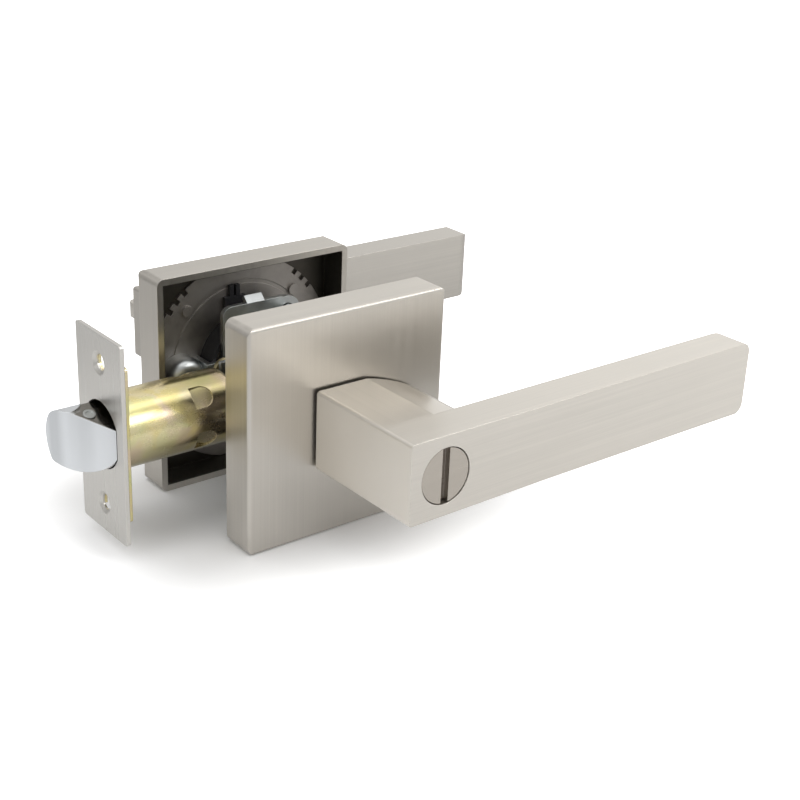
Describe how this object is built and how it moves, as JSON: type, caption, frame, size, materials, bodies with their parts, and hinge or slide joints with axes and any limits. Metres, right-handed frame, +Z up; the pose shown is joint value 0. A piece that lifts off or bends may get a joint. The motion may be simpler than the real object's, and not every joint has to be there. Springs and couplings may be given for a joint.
{
  "type": "door lever handle set",
  "caption": "Satin nickel door lever handle set with square roses, a coin release outside, a thumb turn inside and a tubular spring latch, as fitted through a door.",
  "frame": {"origin": "on the spindle's axis, midway through the door, centred between the two threaded posts", "axes": "+X from the spindle along both levers to their tips, so the latch is at -X; -Y to the outside trim with the coin release, +Y to the inside trim with the thumb turn; +Z up"},
  "size_m": [0.1894, 0.153, 0.065],
  "materials": {
    "satin_nickel": "satin nickel plate over zinc alloy, finely brushed",
    "turn_metal": "polished nickel plate",
    "liner_steel": "plain stamped steel",
    "black_plastic": "moulded nylon",
    "zinc_alloy": "die-cast zinc",
    "zinc_plate": "bright zinc plate",
    "spring_steel": "oiled spring steel",
    "black_steel": "black oxide",
    "faceplate_nickel": "satin nickel plate",
    "yellow_chromate": "yellow chromate over zinc plate",
    "bolt_chrome": "satin chrome plate"
  },
  "bodies": {
    "trim": {"outside_rose": "satin_nickel", "outside_rose_liner": "liner_steel", "outside_cassette": "black_plastic", "outside_return_spring": "spring_steel", "outside_mounting_plate": "zinc_plate", "outside_bushing": "black_plastic", "screw_posts": "zinc_plate", "inside_rose": "satin_nickel", "inside_rose_liner": "liner_steel", "inside_cassette": "black_plastic", "inside_return_spring": "spring_steel", "inside_mounting_plate": "zinc_plate", "inside_bushing": "black_plastic", "mounting_screws": "zinc_plate", "latch_faceplate": "faceplate_nickel", "latch_backplate": "yellow_chromate", "latch_barrel": "yellow_chromate", "latch_case": "yellow_chromate", "case_rivets": "zinc_plate", "bolt_spring": "spring_steel"},
    "handle_set": {"outside_lever": "satin_nickel", "inside_lever": "satin_nickel", "outside_spring_driver": "zinc_alloy", "inside_spring_driver": "zinc_alloy", "outside_retaining_ring": "spring_steel", "inside_retaining_ring": "spring_steel", "lever_set_screw": "black_steel", "spindle": "zinc_plate", "latch_hub": "zinc_alloy"},
    "privacy_turn": {"coin_release": "turn_metal", "thumb_turn": "satin_nickel", "turn_rod": "zinc_plate"},
    "bolt": {"latch_bolt": "bolt_chrome", "bolt_pin": "zinc_plate", "bolt_tail": "zinc_plate"}
  },
  "joints": [
    {"name": "lever_turn", "type": "hinge", "parent": "trim", "child": "handle_set", "pos_m": [0, 0, 0], "axis": [0, 1, 0], "range_deg": [0, 60], "stiffness_Nm_per_rad": 0.9, "springref_deg": -57.3, "deforming": ["outside_return_spring", "inside_return_spring"]},
    {"name": "bolt_slide", "type": "slide", "parent": "trim", "child": "bolt", "axis": [1, 0, 0], "range_m": [0, 0.011], "deforming": ["bolt_spring"]},
    {"name": "privacy_turn", "type": "hinge", "parent": "handle_set", "child": "privacy_turn", "pos_m": [0, 0, 0], "axis": [0, 1, 0], "range_deg": [0, 90]}
  ],
  "couplings": [
    {"joint": "bolt_slide", "follows": "lever_turn", "m_per_rad": 0.010504}
  ]
}
